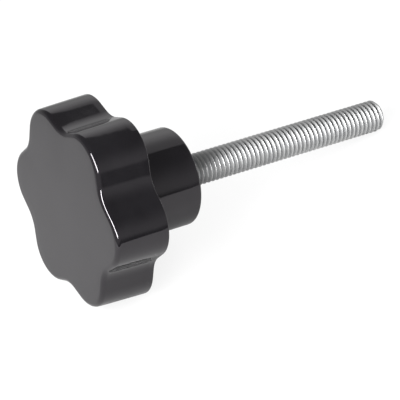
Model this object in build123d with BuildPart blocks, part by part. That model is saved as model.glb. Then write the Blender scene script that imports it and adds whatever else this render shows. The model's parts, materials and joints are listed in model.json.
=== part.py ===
from build123d import *
import os
from math import atan2, cos, radians, sin

# Six-arm knob: a black moulded grip with a round hub, and a steel stud moulded into it.
# Sizes are in millimetres. The origin is the centre of the hub's seat face, where the stud
# comes out. The knob lies at rest on two of its arms and on the end of the stud, so its axis
# runs towards +X and drops a little.

# Head, measured at its back rim, which is its widest place
arm_count = 6
head_diameter = 50.0
arm_tip_radius = 8.1
arm_flank_angle = 43.0
valley_radius = 2.4
head_thickness = 14.0
draft_angle = 1.8
front_edge_radius = 1.3
rim_chamfer = 0.3

# Hub
hub_diameter = 24.5
hub_length = 17.0
hub_edge_radius = 0.7
hub_root_chamfer = 0.8
mouth_clearance = 0.2

# Stud, thread M8: outside the grip it has the thread's outer diameter, and inside the grip it is
# the plain rod that the thread was rolled on
stud_diameter = 8.0
rod_diameter = 7.1
stud_length = 60.0
stud_end_chamfer = 0.8

# Anchor, the hidden end of the stud that the grip is moulded round
anchor_diameter = 13.0
anchor_length = 12.0
anchor_setback = 6.0
flute_count = 12
flute_depth = 1.0
groove_width = 3.0
groove_depth = 1.5

# Resting pose: a level floor touches the rim's edge at the two lowest arms, which stand at equal
# angles either side of straight down, and the stud where its chamfer begins
arm_pitch = 360.0 / arm_count
arm_centre_radius = head_diameter / 2 - arm_tip_radius
rest_height = arm_centre_radius * cos(radians(arm_pitch / 2)) + arm_tip_radius
rest_length = hub_length + stud_length - stud_end_chamfer
rest_angle = atan2(rest_height - stud_diameter / 2, rest_length)

# The seat is countersunk round the stud, to just outside the thread
mouth_depth = (stud_diameter - rod_diameter) / 2 + mouth_clearance

# Planes across the knob's axis: their own x axis points to the side and their y axis upwards
knob_axis = Axis((0, 0, 0), (cos(rest_angle), 0, -sin(rest_angle)))
seat_plane = Plane(origin=knob_axis.position, x_dir=(0, 1, 0), z_dir=knob_axis.direction)
rim_plane = seat_plane.offset(-hub_length)
anchor_plane = seat_plane.offset(-anchor_setback - anchor_length)
groove_plane = anchor_plane.offset((anchor_length - groove_width) / 2)

# One arm, a sector that starts at the knob's centre: a round tip between two straight flanks,
# each tangent to the tip and run on until it meets the flank of the next arm. The flank angle
# is where the flank leaves the tip's arc, seen from the arc's centre.
flank_distance = arm_centre_radius * cos(radians(arm_flank_angle)) + arm_tip_radius
meeting_radius = flank_distance / cos(radians(arm_flank_angle - arm_pitch / 2))
with BuildSketch() as arm:
    with BuildLine():
        tip = CenterArc((arm_centre_radius, 0), arm_tip_radius, -arm_flank_angle, 2 * arm_flank_angle)
        next_arm = PolarLine((0, 0), meeting_radius, arm_pitch / 2)
        last_arm = PolarLine((0, 0), meeting_radius, -arm_pitch / 2)
        Line(tip @ 1, next_arm @ 1)
        Line(tip @ 0, last_arm @ 1)
    make_face()

# Stud: from the anchor through the rod to the threaded length with its chamfered end. Flutes
# along the anchor keep it from turning in the grip, and the groove round it from pulling out.
with BuildPart() as threaded_stud:
    with BuildSketch(anchor_plane):
        Circle(anchor_diameter / 2)
        with PolarLocations(anchor_diameter / 2, flute_count):
            RegularPolygon(flute_depth, 4, mode=Mode.SUBTRACT)
    extrude(amount=anchor_length)
    with BuildSketch(groove_plane):
        Circle(anchor_diameter / 2)
        Circle(anchor_diameter / 2 - groove_depth, mode=Mode.SUBTRACT)
    extrude(amount=groove_width, mode=Mode.SUBTRACT)
    with BuildSketch(anchor_plane.offset(anchor_length)):
        Circle(rod_diameter / 2)
    extrude(amount=anchor_setback)
    with BuildSketch(seat_plane):
        Circle(stud_diameter / 2)
    extrude(amount=stud_length)
    stud_end = threaded_stud.faces().sort_by(knob_axis)[-1]
    chamfer(stud_end.edges(), length=stud_end_chamfer)
threaded_stud.part.label = "threaded_stud"

# Grip: the arms and the rounded valleys between them, drawn at the rim and tapered to the front
# face, with the hub standing on the back. The moulding fills every groove of the anchor.
with BuildPart() as knob_body:
    with BuildSketch(rim_plane) as outline:
        with PolarLocations(0, arm_count):
            add(arm.sketch)
        valleys = outline.vertices().sort_by_distance((0, 0, 0))[:arm_count]
        fillet(valleys, radius=valley_radius)
    extrude(amount=-head_thickness, taper=draft_angle)
    front_face = knob_body.faces().sort_by(knob_axis)[0]
    fillet(front_face.edges(), radius=front_edge_radius)
    back_face = knob_body.faces().sort_by(knob_axis)[-1]
    chamfer(back_face.edges(), length=rim_chamfer)
    with BuildSketch(rim_plane):
        Circle(hub_diameter / 2)
    extrude(amount=hub_length)
    hub_wall = knob_body.faces().filter_by(GeomType.CYLINDER).sort_by(knob_axis)[-1]
    chamfer(hub_wall.edges().sort_by(knob_axis)[0], length=hub_root_chamfer)
    seat_face = knob_body.faces().sort_by(knob_axis)[-1]
    fillet(seat_face.edges(), radius=hub_edge_radius)
    add(threaded_stud.part, mode=Mode.SUBTRACT)
    bore_mouth = knob_body.faces().sort_by(knob_axis)[-1].inner_wires()
    chamfer(bore_mouth.edges(), length=mouth_depth)
knob_body.part.label = "knob_body"

os.makedirs("parts", exist_ok=True)
export_step(threaded_stud.part, "parts/threaded_stud.step")
export_step(knob_body.part, "parts/knob_body.step")
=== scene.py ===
import json
import math

import bmesh
import bpy
import numpy as np
from mathutils import Matrix, Quaternion, Vector


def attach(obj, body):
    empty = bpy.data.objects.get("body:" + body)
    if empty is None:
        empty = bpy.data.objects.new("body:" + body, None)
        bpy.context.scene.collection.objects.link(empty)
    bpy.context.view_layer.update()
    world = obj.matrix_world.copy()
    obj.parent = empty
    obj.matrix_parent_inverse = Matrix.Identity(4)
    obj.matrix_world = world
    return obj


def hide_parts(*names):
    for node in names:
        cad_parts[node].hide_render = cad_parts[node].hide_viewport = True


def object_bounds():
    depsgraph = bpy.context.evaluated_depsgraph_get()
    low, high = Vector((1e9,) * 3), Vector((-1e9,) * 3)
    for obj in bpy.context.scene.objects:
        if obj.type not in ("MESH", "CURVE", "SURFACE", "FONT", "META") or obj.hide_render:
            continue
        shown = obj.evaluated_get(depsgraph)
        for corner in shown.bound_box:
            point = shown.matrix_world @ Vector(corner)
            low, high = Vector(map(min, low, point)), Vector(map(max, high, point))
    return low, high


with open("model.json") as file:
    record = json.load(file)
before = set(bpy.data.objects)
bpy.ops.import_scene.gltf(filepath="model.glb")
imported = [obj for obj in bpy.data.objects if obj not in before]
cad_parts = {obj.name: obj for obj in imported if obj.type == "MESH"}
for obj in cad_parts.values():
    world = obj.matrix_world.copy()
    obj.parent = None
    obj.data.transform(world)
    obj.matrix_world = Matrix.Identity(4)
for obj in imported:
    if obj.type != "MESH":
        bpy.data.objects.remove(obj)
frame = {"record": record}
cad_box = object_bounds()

# The grip.
# Head, arms and hub are one compression moulding of black thermoset resin, pressed in a polished
# steel die, so it is glossy and its walls taper a little towards the front face.
mm = 0.001
mounts = {mount["name"]: mount for mount in frame["record"]["mounts"]}
seat = np.array(mounts["stud"]["pos_m"])
along = np.array(mounts["stud"]["axis"])
across = np.array([0.0, 1.0, 0.0])
rise = np.cross(along, across)

arm_count = 6
head_radius = 24.88 * mm
arm_tip_radius = 8.9 * mm
arm_flank_angle = math.radians(49.0)
valley_radius = 7.0 * mm
head_thickness = 14.0 * mm
draft = math.tan(math.radians(1.8))
front_edge_radius = 1.3 * mm
face_crown = 0.10 * mm
rim_break = 0.3 * mm
hub_radius = 12.25 * mm
hub_length = 17.0 * mm
hub_edge_radius = 0.7 * mm
hub_root_break = 0.8 * mm
mouth_clearance = 0.2 * mm
rod_radius = 3.55 * mm
mouth_radius = mounts["stud"]["dims"]["r_mm"] * mm + mouth_clearance
anchor_radius = 6.5 * mm
anchor_length = 12.0 * mm
anchor_setback = 6.0 * mm
groove_width = 3.0 * mm
groove_depth = 1.5 * mm
flute_count = 12
flute_depth = 1.0 * mm

# How finely the skin is divided: columns over half an arm, and rings over each stretch
tip_columns, flank_columns, valley_columns = 40, 7, 33
face_rings, edge_rings, wall_rings, back_rings, hub_rings = 8, 13, 7, 6, 9
innermost_ring = 0.06

resin_black = (0.0036, 0.0033, 0.0041, 1.0)
flow_mark_black = (0.0056, 0.0052, 0.0062, 1.0)
gloss_tint = (1.0, 0.95, 1.0, 1.0)
orange_peel_height = 0.010 * mm


def place(axial, plan):
    """Points of the frame: an axial distance from the seat towards the stud's end, and a plan
    position across the axis as a complex number, real to the side and imaginary upwards."""
    plan = np.asarray(plan)
    axial = np.broadcast_to(axial, plan.shape)
    return (seat + axial[..., None] * along + plan.real[..., None] * across
            + plan.imag[..., None] * rise)


def outline_of_arms():
    """Plan of the head at its rim and its outward normals. Half an arm is a tip arc about the
    arm's centre, a short straight flank tangent to it, and a wide valley arc tangent to the
    flank whose centre lies on the line between two arms. It is mirrored, then turned once for
    each arm."""
    half_pitch = math.pi / arm_count
    arm_centre = head_radius - arm_tip_radius
    reach = arm_centre * math.cos(arm_flank_angle) + arm_tip_radius + valley_radius
    valley_centre = reach / math.cos(arm_flank_angle - half_pitch) * np.exp(1j * half_pitch)
    tip_turn = np.linspace(0.0, arm_flank_angle, tip_columns)
    valley_turn = np.linspace(arm_flank_angle, half_pitch, valley_columns)
    tip_points = arm_centre + arm_tip_radius * np.exp(1j * tip_turn)
    valley_points = valley_centre - valley_radius * np.exp(1j * valley_turn)
    steps = np.linspace(0.0, 1.0, flank_columns + 2)[1:-1]
    flank_points = tip_points[-1] + steps * (valley_points[0] - tip_points[-1])
    points = np.concatenate([tip_points, flank_points, valley_points])
    flank_turn = np.full(steps.size, arm_flank_angle)
    normals = np.exp(1j * np.concatenate([tip_turn, flank_turn, valley_turn]))
    turns = np.exp(2j * half_pitch * np.arange(arm_count))[:, None]
    arm = np.concatenate([points.conj()[::-1], points[1:-1]])
    arm_normals = np.concatenate([normals.conj()[::-1], normals[1:-1]])
    return (turns * arm).ravel(), (turns * arm_normals).ravel()


rim_plan, rim_normals = outline_of_arms()
bearing = rim_plan / np.abs(rim_plan)


def lobed(inset):
    """Rings of the head drawn in from the rim's outline by each inset, along its normals."""
    return rim_plan - np.asarray(inset)[:, None] * rim_normals


def round_rings(radius):
    """Rings that are circles about the knob's axis, one for each radius."""
    return np.asarray(radius)[:, None] * bearing


def fluted(radius):
    """Circles with V-shaped flutes: the radius drops by the flute's depth on each flute's line
    and rises back in proportion to the distance from it, over one flute depth to each side."""
    flutes_passed = np.angle(bearing) * flute_count / (2 * np.pi)
    arc = np.abs(flutes_passed - np.round(flutes_passed)) * 2 * np.pi * anchor_radius / flute_count
    drop = np.clip(flute_depth - arc, 0.0, None)
    return (np.asarray(radius)[:, None] - drop) * bearing


def new_piece(name, vertices, faces):
    """A piece in the scene whose mesh has these points, and faces that number their points."""
    mesh = bpy.data.meshes.new(name)
    mesh.from_pydata(vertices, [], faces)
    mesh.update()
    piece = bpy.data.objects.new(name, mesh)
    bpy.context.scene.collection.objects.link(piece)
    return piece


def surface(name, axial, rings, first_pole, last_pole):
    """A closed skin over rings of points: quads between each ring and the next, and a fan of
    triangles from each end ring to a pole on the axis."""
    points = place(axial[:, None], rings)
    rows, columns = rings.shape
    poles = place(np.array([first_pole, last_pole]), np.zeros(2))
    vertices = np.concatenate([points.reshape(-1, 3), poles])
    here = np.arange(rows * columns).reshape(rows, columns)
    beside = np.roll(here, -1, axis=1)
    quads = np.stack([here[:-1], beside[:-1], beside[1:], here[1:]], axis=-1).reshape(-1, 4)
    first = np.full(columns, rows * columns)
    first_fan = np.stack([first, beside[0], here[0]], axis=-1)
    last_fan = np.stack([first + 1, here[-1], beside[-1]], axis=-1)
    faces = quads.tolist() + first_fan.tolist() + last_fan.tolist()
    return new_piece(name, vertices.tolist(), faces)


def smooth(piece, crease_degrees):
    """Faces shade smoothly, and edges that turn by more than the crease angle stay sharp."""
    piece.data.shade_smooth()
    piece.data.set_sharp_from_angle(angle=math.radians(crease_degrees))


# Rings from the middle of the front face round the outside to the seat, then down into the
# cavity that the anchor fills: insets or radii, and axial places, in step with each other
front = -hub_length - head_thickness
face_inset = draft * head_thickness + front_edge_radius
quarter_turn = np.linspace(0.0, math.pi / 2, edge_rings)
face_scale = np.linspace(innermost_ring, 1.0, face_rings + 1)[:-1]
edge_inset = face_inset - front_edge_radius * np.sin(quarter_turn)
edge_axial = front + face_crown + (front_edge_radius - face_crown) * (1 - np.cos(quarter_turn))
wall_steps = np.linspace(0.0, 1.0, wall_rings + 1)[1:]
wall_axial = edge_axial[-1] + wall_steps * (-hub_length - rim_break - edge_axial[-1])
wall_inset = draft * (-hub_length - wall_axial)
rim_turn = quarter_turn[3::3]
back_rim = lobed([rim_break])[0]
root_circle = round_rings([hub_radius + hub_root_break])[0]
back_steps = np.linspace(0.0, 1.0, back_rings + 1)[1:, None]
hub_axial = np.linspace(hub_root_break - hub_length, -hub_edge_radius, hub_rings)
hub_turn = quarter_turn[1:]
anchor_front = -anchor_setback
anchor_back = -anchor_setback - anchor_length
groove_front = anchor_front - (anchor_length - groove_width) / 2
groove_back = groove_front - groove_width
groove_radius = anchor_radius - groove_depth
grip_rings = np.concatenate([
    face_scale[:, None] * lobed([face_inset]),
    lobed(edge_inset),
    lobed(wall_inset),
    lobed(rim_break * (1 - np.cos(rim_turn))),
    back_rim + back_steps * (root_circle - back_rim),
    round_rings(np.full(hub_axial.size, hub_radius)),
    round_rings(hub_radius - hub_edge_radius * (1 - np.cos(hub_turn))),
    round_rings([mouth_radius, rod_radius, rod_radius]),
    fluted([anchor_radius, anchor_radius]),
    round_rings([groove_radius, groove_radius]),
    fluted([anchor_radius, anchor_radius]),
])
grip_axial = np.concatenate([
    front + face_crown * face_scale ** 2,
    edge_axial,
    wall_axial,
    -hub_length - rim_break * (1 - np.sin(rim_turn)),
    np.full(back_steps.size, -hub_length),
    hub_axial,
    -hub_edge_radius * (1 - np.sin(hub_turn)),
    [0.0, rod_radius - mouth_radius, anchor_front],
    [anchor_front, groove_front],
    [groove_front, groove_back],
    [groove_back, anchor_back],
])
grip = surface("grip", grip_axial, grip_rings, front, anchor_back)
smooth(grip, crease_degrees=35.0)


class Link:
    """An output of a shader tree that is used like a number: each operator adds a Math node."""

    def __init__(self, tree, socket=None):
        self.tree = tree
        self.socket = socket

    def node(self, kind, settings=None, inputs=None, output=0):
        """Adds a node: its settings come first, then values or links for its sockets."""
        made = self.tree.nodes.new(kind)
        for name, value in (settings or {}).items():
            setattr(made, name, value)
        for name, value in (inputs or {}).items():
            if isinstance(value, Link):
                self.tree.links.new(value.socket, made.inputs[name])
            else:
                made.inputs[name].default_value = value
        return Link(self.tree, made.outputs[output] if made.outputs else None)

    def math(self, operation, *values):
        return self.node("ShaderNodeMath", {"operation": operation}, dict(enumerate(values)))

    def __add__(self, other):
        return self.math("ADD", self, other)

    def __sub__(self, other):
        return self.math("SUBTRACT", self, other)

    def __rsub__(self, other):
        return self.math("SUBTRACT", other, self)

    def __mul__(self, other):
        return self.math("MULTIPLY", self, other)

    __radd__ = __add__
    __rmul__ = __mul__

    def vector_math(self, operation, *others, output="Vector"):
        """This vector and the others put through one Vector Math node."""
        return self.node("ShaderNodeVectorMath", {"operation": operation},
                         dict(enumerate((self,) + others)), output)

    def dot(self, vector):
        """How far this vector reaches in the direction of another."""
        return self.vector_math("DOT_PRODUCT", vector, output="Value")

    def ramp(self, low, high):
        """0 below low, 1 above high, and a smooth step between them."""
        return self.node("ShaderNodeMapRange", {"interpolation_type": "SMOOTHSTEP"},
                         {"Value": self, "From Min": low, "From Max": high})

    def noise(self, scale, detail, roughness):
        """Soft noise over this position, with about as many spots to the metre as the scale."""
        return self.node("ShaderNodeTexNoise", None,
                         {"Vector": self, "Scale": scale, "Detail": detail, "Roughness": roughness})

    def blend(self, low, high):
        """A colour between two others, low where this value is 0 and high where it is 1."""
        return self.node("ShaderNodeMix", {"data_type": "RGBA"}, {0: self, 6: low, 7: high}, 2)


def new_material(name):
    """An empty material, and a link without a socket that its nodes are added through."""
    material = bpy.data.materials.new(name)
    material.use_nodes = True
    material.node_tree.nodes.clear()
    return material, Link(material.node_tree)


def finish_material(root, shader):
    """The shader goes to the material's surface, which completes it."""
    root.node("ShaderNodeOutputMaterial", None, {"Surface": shader})


def black_thermoset():
    """Black phenolic with a pressed gloss: faint flow marks in the colour, a slight orange peel
    that ripples reflections, and a little haze where the die's polish was worn."""
    material, root = new_material("black_thermoset")
    point = root.node("ShaderNodeTexCoord", output="Object")
    flow = point.noise(scale=90.0, detail=4.0, roughness=0.6).ramp(0.35, 0.7)
    haze = point.noise(scale=260.0, detail=3.0, roughness=0.6).ramp(0.4, 0.75)
    peel = point.noise(scale=420.0, detail=1.0, roughness=0.4)
    grain = point.noise(scale=5200.0, detail=2.0, roughness=0.6)
    bump = root.node("ShaderNodeBump", None, {
        "Strength": 1.0, "Distance": orange_peel_height, "Height": peel + 0.03 * grain})
    shader = root.node("ShaderNodeBsdfPrincipled", None, {
        "Base Color": flow.blend(resin_black, flow_mark_black), "Roughness": 0.07 + 0.05 * haze,
        "IOR": 1.58, "Specular Tint": gloss_tint, "Normal": bump})
    finish_material(root, shader)
    return material


grip.data.materials.append(black_thermoset())
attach(grip, "root")
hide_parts("knob_body")

# The stud.
# A zinc-plated steel rod with a rolled M8 thread over its whole exposed length and a chamfered
# end. Its hidden end carries a fluted and grooved anchor, and the grip was moulded round it.
stud_radius = mounts["stud"]["dims"]["r_mm"] * mm
stud_length = 60.0 * mm
stud_end_chamfer = 0.8 * mm
pitch = 1.25 * mm
thread_depth = 0.6134 * pitch
thread_flank_angle = math.radians(30.0)
crest_half_width = pitch / 16
crest_rounding = 0.05 * mm
thread_columns = 64
spare_turns = 3
turn_in_length = 1.5 * pitch
weld_gap = 1e-7
profile_places = np.array([0.0, 0.05, 0.09, 0.17, 0.25, 0.33, 0.41, 0.5, 0.59, 0.67, 0.75, 0.83,
                           0.91, 0.95])

# The thread's roots get a darker grey than the crests: painted shade in the grooves
thread_root_painted_shade = (0.44, 0.445, 0.45, 1.0)
dull_zinc = (0.58, 0.585, 0.59, 1.0)
bright_zinc = (0.68, 0.68, 0.675, 1.0)
frost_height = 0.012 * mm


def thread_radius(place_in_pitch):
    """Radius over one pitch, from one crest to the next: straight flanks at 30 degrees to a
    plane across the axis, cut off flat at the root and rounded over at the crest."""
    from_crest = np.abs((place_in_pitch + 0.5) % 1.0 - 0.5) * pitch
    flank = (from_crest - crest_half_width) / math.tan(thread_flank_angle)
    crest_round = crest_rounding * np.clip(from_crest / crest_half_width, 0.0, 1.0) ** 2
    depth = np.clip(flank, 0.0, thread_depth) + crest_round
    return stud_radius - np.clip(depth, 0.0, thread_depth)


def helical_surface(name):
    """The threaded length as a grid that is sheared along the helix: rows follow the thread, and
    each column starts one share of the pitch further on, so the last column meets the first one
    pitch later. Rows that run past an end lie in its plane and turn in to the axis."""
    turns = math.ceil(stud_length / pitch) + 2 * spare_turns
    per_pitch = profile_places.size
    lead = (np.arange(-spare_turns, turns - spare_turns)[:, None] + profile_places).ravel()
    column = np.arange(thread_columns) / thread_columns
    raw = (lead[:, None] + column) * pitch
    axial = np.clip(raw, 0.0, stud_length)
    radius = np.broadcast_to(thread_radius(lead)[:, None], raw.shape)
    cone = stud_radius - np.clip(raw - (stud_length - stud_end_chamfer), 0.0, stud_end_chamfer)
    past_end = np.maximum(-raw, raw - stud_length)
    turned_in = 1.0 - np.clip(past_end / turn_in_length, 0.0, 1.0)
    plan = np.minimum(radius, cone) * turned_in * np.exp(2j * np.pi * column)
    vertices = place(axial, plan).reshape(-1, 3)
    rows = lead.size
    here = np.arange(rows * thread_columns).reshape(rows, thread_columns)
    beside = np.roll(here, -1, axis=1)
    beside[:-per_pitch, -1] = here[per_pitch:, 0]
    quads = np.stack([here[:-1], beside[:-1], beside[1:], here[1:]], axis=-1)
    return new_piece(name, vertices.tolist(), quads[:-per_pitch].reshape(-1, 4).tolist())


def merge_points(mesh, gap):
    """Joins points that lie on each other, which closes the ends, and drops loose ones."""
    work = bmesh.new()
    work.from_mesh(mesh)
    bmesh.ops.remove_doubles(work, verts=work.verts, dist=gap)
    bmesh.ops.delete(work, geom=[v for v in work.verts if not v.link_faces], context="VERTS")
    work.to_mesh(mesh)
    work.free()
    mesh.update()


anchor_rings = np.concatenate([
    fluted([anchor_radius, anchor_radius]),
    round_rings([groove_radius, groove_radius]),
    fluted([anchor_radius, anchor_radius]),
    round_rings([rod_radius, rod_radius]),
])
anchor_axial = np.array([anchor_back, groove_back, groove_back, groove_front, groove_front,
                         anchor_front, anchor_front, 0.0])
stud = surface("stud", anchor_axial, anchor_rings, anchor_back, 0.0)
thread = helical_surface("thread")
merge_points(thread.data, weld_gap)
with bpy.context.temp_override(active_object=stud, selected_editable_objects=[stud, thread]):
    bpy.ops.object.join()
smooth(stud, crease_degrees=40.0)


def zinc_plated_steel():
    """Bright zinc plating on rolled steel: a pale grey metal, cloudy where the plating took
    unevenly, with a fine frost from the bath, and duller down in the thread, where its colour is
    also darkened as painted shade. The crest value rises from 0 near the root to 1 at the stud's
    full radius from its axis."""
    material, root = new_material("zinc_plated_steel")
    point = root.node("ShaderNodeTexCoord", output="Object")
    from_axis = point.vector_math("SUBTRACT", seat).vector_math("CROSS_PRODUCT", along)
    radius = from_axis.vector_math("LENGTH", output="Value")
    crest = radius.ramp(stud_radius - 0.9 * thread_depth, stud_radius)
    cloud = point.noise(scale=240.0, detail=4.0, roughness=0.6).ramp(0.3, 0.7)
    # Painted shade: the colour darkens from the crest down into the thread's root
    colour = crest.blend(thread_root_painted_shade, cloud.blend(dull_zinc, bright_zinc))
    frost = point.noise(scale=3600.0, detail=3.0, roughness=0.6)
    bump = root.node("ShaderNodeBump", None, {
        "Strength": 1.0, "Distance": frost_height, "Height": frost})
    shader = root.node("ShaderNodeBsdfPrincipled", None, {
        "Base Color": colour, "Metallic": 1.0, "Roughness": 0.50 - 0.10 * crest + 0.10 * frost,
        "Normal": bump})
    finish_material(root, shader)
    return material


stud.data.materials.append(zinc_plated_steel())
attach(stud, "root")
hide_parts("threaded_stud")

# The surroundings.
# The knob lies on white paper that ends a hand's width in front of it. White studio walls stand
# behind it, the side towards the camera is a dim room, and a long narrow lamp hangs at the left.
floor_level = cad_box[0][2]
floor_half = 3.0
floor_front = -0.095
white = (1.0, 1.0, 1.0, 1.0)
paper_grey = (0.475, 0.475, 0.475, 1.0)
shine_strength = 1.18
shine_share = 0.7


def pale_floor():
    """White paper. For the camera most of its white is a shine of its own, so that the knob's
    shadow stays faint; reflections see the paper with its full shadow."""
    material, root = new_material("pale_floor")
    on_camera = root.node("ShaderNodeLightPath", output="Is Camera Ray")
    paper = root.node("ShaderNodeBsdfDiffuse", None, {"Color": paper_grey})
    shine = root.node("ShaderNodeEmission", None, {"Color": white, "Strength": shine_strength})
    finish_material(root, root.node("ShaderNodeMixShader", None, {
        0: shine_share * on_camera, 1: paper, 2: shine}))
    return material


floor = new_piece("floor", [
    (-floor_half, floor_front, floor_level), (floor_half, floor_front, floor_level),
    (floor_half, floor_half, floor_level), (-floor_half, floor_half, floor_level),
], [(0, 1, 2, 3)])
floor.data.materials.append(pale_floor())

# Only glossy reflections see the walls and the room, and each changes with the height that the
# reflection looks at. The walls fill the directions inside two planes, one at their top and one
# at their side. All other light from around is one even white.
open_light = 1.1
wall_top_normal = (0.747, 0.015, -0.665)
wall_side_normal = (-0.139, 0.990, 0.0)
world = bpy.data.worlds.new("studio")
world.use_nodes = True
world.node_tree.nodes.clear()
sky = Link(world.node_tree)
direction = sky.node("ShaderNodeTexCoord", output="Generated")
height = direction.dot((0.0, 0.0, 1.0))
wall_top = direction.dot(wall_top_normal)
wall_side = direction.dot(wall_side_normal)
walls = wall_top.ramp(-0.04, -0.01) * wall_side.ramp(0.0, 0.05)
wall_light = 0.55 + 0.40 * height.ramp(0.0, 0.4) - 0.30 * height.ramp(0.5, 0.7)
room_light = 0.13 + 0.37 * height.ramp(-0.25, -0.03) - 0.33 * height.ramp(0.05, 0.75)
studio = room_light + walls * (wall_light - room_light)
on_gloss = sky.node("ShaderNodeLightPath", output="Is Glossy Ray")
strength = open_light + on_gloss * (studio - open_light)
backdrop = sky.node("ShaderNodeBackground", None, {"Color": white, "Strength": strength})
sky.node("ShaderNodeOutputWorld", None, {"Surface": backdrop})
bpy.context.scene.world = world

# The lamp's ends lie in two directions from the origin, and it shines square to its own length
lamp_distance = 0.45
lamp_width = 0.065
lamp_power = 3.4
lamp_high = Vector((-0.69, -0.11, 0.72)) * lamp_distance
lamp_low = Vector((-0.52, -0.84, 0.18)) * lamp_distance
lamp_data = bpy.data.lights.new("left_lamp", "AREA")
lamp_data.shape = "RECTANGLE"
lamp_data.size = (lamp_high - lamp_low).length
lamp_data.size_y = lamp_width
lamp_data.energy = lamp_power
left_lamp = bpy.data.objects.new("left_lamp", lamp_data)
lamp_middle = (lamp_high + lamp_low) / 2
lamp_axis = (lamp_high - lamp_low).normalized()
lamp_back = (lamp_middle - lamp_axis * lamp_middle.dot(lamp_axis)).normalized()
lamp_frame = Matrix((lamp_axis, lamp_back.cross(lamp_axis), lamp_back)).transposed()
left_lamp.matrix_world = Matrix.Translation(lamp_middle) @ lamp_frame.to_4x4()
bpy.context.scene.collection.objects.link(left_lamp)

# The camera, at the photograph's viewing angle. The photograph shows the knob's axis about level,
# and here the knob lies tilted as it comes to rest, so the camera is rolled to match.
camera_azimuth = math.radians(-24.5)
camera_elevation = math.radians(33.7)
camera_roll = math.radians(15.6)
camera_distance = 0.600
camera_target = Vector((0.0021, -0.0054, -0.0061))
focal_length = 222.7
sensor_width = 36.0
line_of_sight = Vector((
    -math.sin(camera_azimuth) * math.cos(camera_elevation),
    math.cos(camera_azimuth) * math.cos(camera_elevation),
    -math.sin(camera_elevation)))
camera_data = bpy.data.cameras.new("camera")
camera_data.lens = focal_length
camera_data.sensor_width = sensor_width
camera = bpy.data.objects.new("camera", camera_data)
camera.location = camera_target - camera_distance * line_of_sight
upright = line_of_sight.to_track_quat("-Z", "Y")
camera.rotation_euler = (upright @ Quaternion((0.0, 0.0, 1.0), -camera_roll)).to_euler()
bpy.context.scene.collection.objects.link(camera)
bpy.context.scene.camera = camera
bpy.context.scene.view_settings.view_transform = "Standard"
